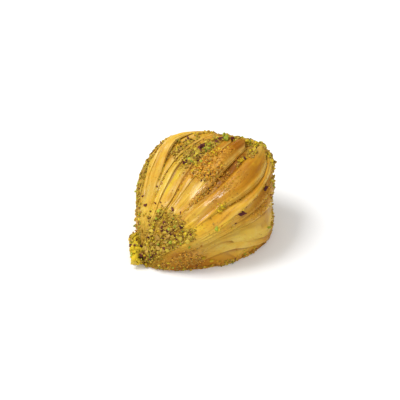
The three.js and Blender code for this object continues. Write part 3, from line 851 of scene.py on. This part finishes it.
def clumpLumps():
    foot, top = Vector(clump["foot"]), Vector(clump["top"])
    lumps = []
    for number in range(clump["lumps"]):
        level = number / (clump["lumps"] - 1)
        radius = clump["radius"][0] + (clump["radius"][1] - clump["radius"][0]) * level
        lumps.append((Vector(cadPlace(foot.lerp(top, level))), radius * mm))
    return lumps


def clumpPlaces(lumps):
    rng = np.random.default_rng(nuts["seed"] + 1)
    places = []
    for number in range(clump["grains"]):
        middle, radius = lumps[number % len(lumps)]
        out = Vector(rng.normal(size=3)).normalized()
        small, large = clump["size"]
        size = small + (large - small) * rng.uniform() ** clump["sizePower"]
        place = middle + out * (radius * rng.uniform(*clump["out"]) - clump["sunk"] * size * mm)
        if place.z > 0.5 * size * mm:
            places.append((place, out, size, pickKind(rng, "clump")))
    return places


# Corner places and faces of a ball, to chip grains from.
def ballShape(divisions):
    bm = bmesh.new()
    bmesh.ops.create_icosphere(bm, subdivisions=divisions, radius=1.0)
    corners = np.array([vertex.co[:] for vertex in bm.verts])
    faces = np.array([[vertex.index for vertex in face.verts] for face in bm.faces])
    bm.free()
    return corners, faces


# All grains of one kind as one mesh; shade is a random number for each grain.
def buildGrains(name, places, material):
    topLimit = cadBox[1][2] + nuts["above"] * mm
    rng = np.random.default_rng(sum(ord(letter) for letter in name))
    coarse, fine = ballShape(2), ballShape(1)
    allCorners, allFaces, shades, count = [], [], [], 0
    for place, normal, size, _ in places:
        corners, faces = coarse if size > nuts["fineBelow"] else fine
        corners = corners.copy()
        for _ in range(nuts["chips"]):
            way = unit(rng.normal(size=3))
            over = np.maximum(corners @ way - rng.uniform(*nuts["chipDepths"]), 0)
            corners -= over[:, None] * way
        corners *= rng.uniform(*nuts["uneven"], (len(corners), 1))
        corners *= [rng.uniform(*between) for between in nuts["stretch"]]
        turn = Matrix.Rotation(rng.uniform(0, 6.28), 3, Vector(rng.normal(size=3)).normalized())
        radius = size * mm / 2
        corners = corners @ np.array(turn).T
        up = np.array(normal)
        flatter = nuts["flatter"] * smooth(size, *nuts["flatSizes"])
        corners -= flatter * (corners @ up)[:, None] * up
        lift = min(-(corners @ up).min(), nuts["mostLift"]) - nuts["sunk"]
        corners = corners * radius + np.array(place) + up * radius * lift
        corners[:, 2] += max(0.0, -corners[:, 2].min())
        corners[:, 2] -= max(0.0, corners[:, 2].max() - topLimit)
        allCorners.append(corners)
        allFaces.append(faces + count)
        shades.append(np.full(len(corners), rng.uniform()))
        count += len(corners)
    mesh = bpy.data.meshes.new(name)
    mesh.from_pydata(np.concatenate(allCorners).tolist(), [], np.concatenate(allFaces).tolist())
    mesh.attributes.new("shade", "FLOAT", "POINT").data.foreach_set("value", np.concatenate(shades))
    mesh.materials.append(material)
    grains = linkPiece(name, mesh)
    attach(grains, "root")
    print(name, len(places), "grains", len(mesh.polygons), "faces")


# A dark core under the clump's grains, standing for the shade in the gaps between them.
def buildClumpShadeCore(lumps, material):
    bm = bmesh.new()
    rng = np.random.default_rng(3)
    for middle, radius in lumps:
        made = bmesh.ops.create_icosphere(bm, subdivisions=4, radius=radius * clump["core"],
                                          matrix=Matrix.Translation(middle))
        for vertex in made["verts"]:
            vertex.co = middle + (vertex.co - middle) * rng.uniform(0.9, 1.03)
    core = linkMesh(bm, "clumpShadeCore")
    core.data.materials.append(material)
    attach(core, "root")


def linear(code):
    values = [int(code[k:k + 2], 16) / 255 for k in (1, 3, 5)]
    return tuple(v / 12.92 if v <= 0.04045 else ((v + 0.055) / 1.055) ** 2.4 for v in values) + (1.0,)


# Adds a node with its settings. An input is named, or numbered as in i0; one given as
# (node, output) is linked.
def addNode(tree, kind, settings=None, **inputs):
    node = tree.nodes.new(kind)
    for name, value in (settings or {}).items():
        setattr(node, name, value)
    for name, value in inputs.items():
        key = int(name[1:]) if name[1:].isdigit() else name
        if isinstance(value, tuple) and len(value) == 2 and isinstance(value[0], bpy.types.Node):
            tree.links.new(value[0].outputs[value[1]], node.inputs[key])
        else:
            node.inputs[key].default_value = value
    return node


def newMaterial(name):
    material = bpy.data.materials.new(name)
    material.use_nodes = True
    tree = material.node_tree
    shader = tree.nodes["Principled BSDF"]
    return material, tree, shader


# Tones laid over the filo's deep gold, one after another: the noise that parts each, the
# noise's values between which it comes up, and how much it covers where its own patches are.
filo = {
    "gold": ("#DAA226", "streak", 0.34, 0.66, 1.0),
    "straw": ("#D0B43A", "hue", 0.52, 0.66, 0.45),
    "blush": ("#C4843A", "hue", 0.47, 0.34, 0.5),
    "cream": ("#E4BC40", "drift", 0.45, 0.66, 0.6),
    "pale": ("#DABE4A", "cloud", 0.22, 0.58, 1.0),
    "olive": ("#BC9E40", "cloud", 0.2, 0.5, 0.8),
    "lemon": ("#DABC22", "cloud", 0.25, 0.5, 0.9),
    "rose": ("#A66A2E", "cloud", 0.2, 0.55, 0.9),
    "brown": ("#925608", "cloud", 0.15, 0.5, 0.95),
    "toasted": ("#96581A", "cloud", 0.6, 0.76, 0.45),
    # rim: painted highlight along the petals' borders
    "rim": ("#EACA66", "cloud", 0.3, 0.62, 0.6),
    # crease: caramel brown with painted shade, where the creases lie
    "crease": ("#86500C", "streak", 0.05, 0.35, 0.9),
    "sandy": ("#CE9636", "cloud", 0.05, 0.3, 0.85),
    "ground": ("#B6923C", "cloud", 0.05, 0.25, 0.92),
    "fleck": ("#8A5A16", "fleck", 0.66, 0.73, 0.5),
}
deepGold = "#BE800E"
powderGapShade = {"ground": "#725214", "sandy": "#84500E"}     # painted shade between the powder's grains


# Filo pastry, baked and soaked in syrup: satin leaves with a wet, uneven gloss, paler where
# they are thick with syrup, browned where they met the tin; caramel and painted shade darken the
# creases, and a painted highlight lightens the petals' borders.
def syrupSoakedFilo():
    material, tree, shader = newMaterial("syrupSoakedFilo")
    facts = {name: (addNode(tree, "ShaderNodeAttribute", {"attribute_name": name}), "Fac")
             for name in ("station", "around", "crease", "rim", "ground", "sandy", *tones)}
    place = addNode(tree, "ShaderNodeTexCoord"), "Object"
    multiply, multiplyAdd = {"operation": "MULTIPLY"}, {"operation": "MULTIPLY_ADD"}
    along = addNode(tree, "ShaderNodeMath", multiply, i0=facts["station"], i1=0.09), 0
    leafMap = addNode(tree, "ShaderNodeCombineXYZ", i0=along, i1=facts["around"]), 0
    noises = {}
    for name, vector, scale, detail, roughness in (
            ("streak", leafMap, 0.9, 4.0, 0.55), ("hue", leafMap, 0.32, 3.0, 0.6),
            ("cloud", place, 150.0, 4.0, 0.6), ("drift", place, 55.0, 3.0, 0.55),
            ("speckle", place, 1100.0, 2.0, 0.5), ("fleck", place, 1700.0, 1.0, 0.5)):
        noises[name] = addNode(tree, "ShaderNodeTexNoise", Vector=vector, Scale=scale, Detail=detail,
                               Roughness=roughness), 0
    powder = addNode(tree, "ShaderNodeMapRange", i0=noises["speckle"], i1=0.36, i2=0.6), 0
    colour = linear(deepGold)
    for name, (tone, noise, low, high, most) in filo.items():
        share = addNode(tree, "ShaderNodeMapRange", i0=noises[noise], i1=low, i2=high, i4=most), 0
        if name in facts:
            share = addNode(tree, "ShaderNodeMath", multiply, i0=share, i1=facts[name]), 0
        added = linear(tone)
        # The powder's tone is mixed with painted shade in the gaps between its grains.
        if name in powderGapShade:
            added = addNode(tree, "ShaderNodeMix", {"data_type": "RGBA"}, i0=powder,
                            i6=linear(powderGapShade[name]), i7=added), 2
        colour = addNode(tree, "ShaderNodeMix", {"data_type": "RGBA"}, i0=share, i6=colour, i7=added), 2
    damp = addNode(tree, "ShaderNodeMapRange", i0=noises["cloud"], i1=0.45, i2=0.66, i4=0.4), 0
    wet = addNode(tree, "ShaderNodeMath", {"operation": "ADD", "use_clamp": True}, i0=damp,
                  i1=facts["wet"]), 0
    powdery = addNode(tree, "ShaderNodeMath", multiplyAdd, i0=facts["brown"], i1=0.7, i2=facts["ground"]), 0
    dry = addNode(tree, "ShaderNodeMath", {"operation": "SUBTRACT", "use_clamp": True}, i0=1.0,
                  i1=powdery), 0
    coat = addNode(tree, "ShaderNodeMath", multiply, i0=wet, i1=dry), 0
    gloss = addNode(tree, "ShaderNodeMath", multiply, i0=dry, i1=0.17), 0
    rough = addNode(tree, "ShaderNodeMath", multiplyAdd, i0=facts["ground"], i1=0.25, i2=0.42), 0
    height = addNode(tree, "ShaderNodeMath", multiplyAdd, i0=noises["speckle"], i1=0.35,
                     i2=noises["streak"]), 0
    strength = addNode(tree, "ShaderNodeMath", multiplyAdd, i0=facts["wet"], i1=-0.28, i2=0.35), 0
    bump = addNode(tree, "ShaderNodeBump", Height=height, Strength=strength, Distance=0.00025), 0
    for socket, (node, output) in (("Base Color", colour), ("Coat Weight", coat), ("Roughness", rough),
                                   ("Specular IOR Level", gloss), ("Normal", bump)):
        tree.links.new(node.outputs[output], shader.inputs[socket])
    shader.inputs["Coat Roughness"].default_value = 0.2
    shader.inputs["Coat IOR"].default_value = 1.48
    shader.inputs["Subsurface Weight"].default_value = 0.15
    shader.inputs["Subsurface Radius"].default_value = (1.0, 0.55, 0.15)
    shader.inputs["Subsurface Scale"].default_value = 0.0015
    return material


# Chopped pistachio: a dry, matt cut face, each grain of its own shade.
def choppedPistachio(name, inner, outer):
    material, tree, shader = newMaterial(name)
    shade = addNode(tree, "ShaderNodeAttribute", {"attribute_name": "shade"}), "Fac"
    place = addNode(tree, "ShaderNodeTexCoord"), "Object"
    mottle = addNode(tree, "ShaderNodeTexNoise", Vector=place, Scale=1300.0, Detail=3.0), 0
    total = addNode(tree, "ShaderNodeMath", {"operation": "ADD"}, i0=shade, i1=mottle), 0
    tone = addNode(tree, "ShaderNodeMapRange", i0=total, i1=0.45, i2=1.35), 0
    colour = addNode(tree, "ShaderNodeMix", {"data_type": "RGBA"}, i0=tone, i6=linear(outer),
                     i7=linear(inner))
    tree.links.new(colour.outputs[2], shader.inputs["Base Color"])
    shader.inputs["Roughness"].default_value = 0.6
    shader.inputs["Specular IOR Level"].default_value = 0.1
    shader.inputs["Coat Weight"].default_value = 0.03
    shader.inputs["Coat Roughness"].default_value = 0.3
    shader.inputs["Subsurface Weight"].default_value = 0.1
    shader.inputs["Subsurface Scale"].default_value = 0.0008
    return material


# The stage: a matt, near-white floor of painted board, which takes soft shadows.
def setStage():
    bm = bmesh.new()
    bmesh.ops.create_grid(bm, x_segments=1, y_segments=1, size=1.5)
    floor = linkMesh(bm, "floor")
    material, _, shader = newMaterial("paleFloor")
    shader.inputs["Base Color"].default_value = (0.92, 0.92, 0.92, 1)
    shader.inputs["Roughness"].default_value = 0.9
    floor.data.materials.append(material)


studio = {
    "camera": (-42.16, 40.63, 550),  # azimuth, elevation, distance
    "target": (30.95, 0.11, 15.48),
    "framed": 160,  # width that the frame covers at the target, mm
    "sensor": 36,
    "world": 0.62,
    "lights": (  # name, azimuth, elevation, distance, size, power
        ("window", -146, 60, 600, 260, 2.7),
        ("fill", -20, 35, 900, 700, 1.9)),
}


# A camera or lamp, held away from the target and turned to it.
def holdAway(name, data, target, azimuth, elevation, distance):
    turn, tilt = math.radians(azimuth), math.radians(elevation)
    back = Vector((math.sin(turn) * math.cos(tilt), -math.cos(turn) * math.cos(tilt), math.sin(tilt)))
    holder = linkPiece(name, data)
    holder.location = target + back * distance * mm
    holder.rotation_euler = back.to_track_quat("Z", "Y").to_euler()
    return holder


def setCamera(target):
    lens = bpy.data.cameras.new("camera")
    lens.sensor_width = studio["sensor"]
    lens.lens = studio["sensor"] * studio["camera"][2] / studio["framed"]
    lens.clip_start = 0.01
    bpy.context.scene.camera = holdAway("camera", lens, target, *studio["camera"])


def setLights(target):
    for name, azimuth, elevation, distance, size, power in studio["lights"]:
        lamp = bpy.data.lights.new(name, "AREA")
        lamp.size = size * mm
        lamp.energy = power
        holdAway(name, lamp, target, azimuth, elevation, distance)
    world = bpy.data.worlds.new("paleRoom")
    world.use_nodes = True
    world.node_tree.nodes["Background"].inputs["Color"].default_value = (1, 1, 1, 1)
    world.node_tree.nodes["Background"].inputs["Strength"].default_value = studio["world"]
    bpy.context.scene.world = world
    bpy.context.scene.view_settings.view_transform = "Standard"


pastry = buildPastry()
pastry.data.materials.append(syrupSoakedFilo())
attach(pastry, "root")
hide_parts("baklava")
tree = skinTree(pastry)
lumps = clumpLumps()
places = nutPlaces(tree) + clumpPlaces(lumps)
for name, (inner, outer) in nuts["tones"].items():
    material = choppedPistachio(name, inner, outer)
    buildGrains(name + "Grains", [place for place in places if place[3] == name], material)
buildClumpShadeCore(lumps, choppedPistachio("shadedPistachio", *clump["shadeCoreTones"]))
setStage()
target = Vector(cadPlace(studio["target"]))
setCamera(target)
setLights(target)
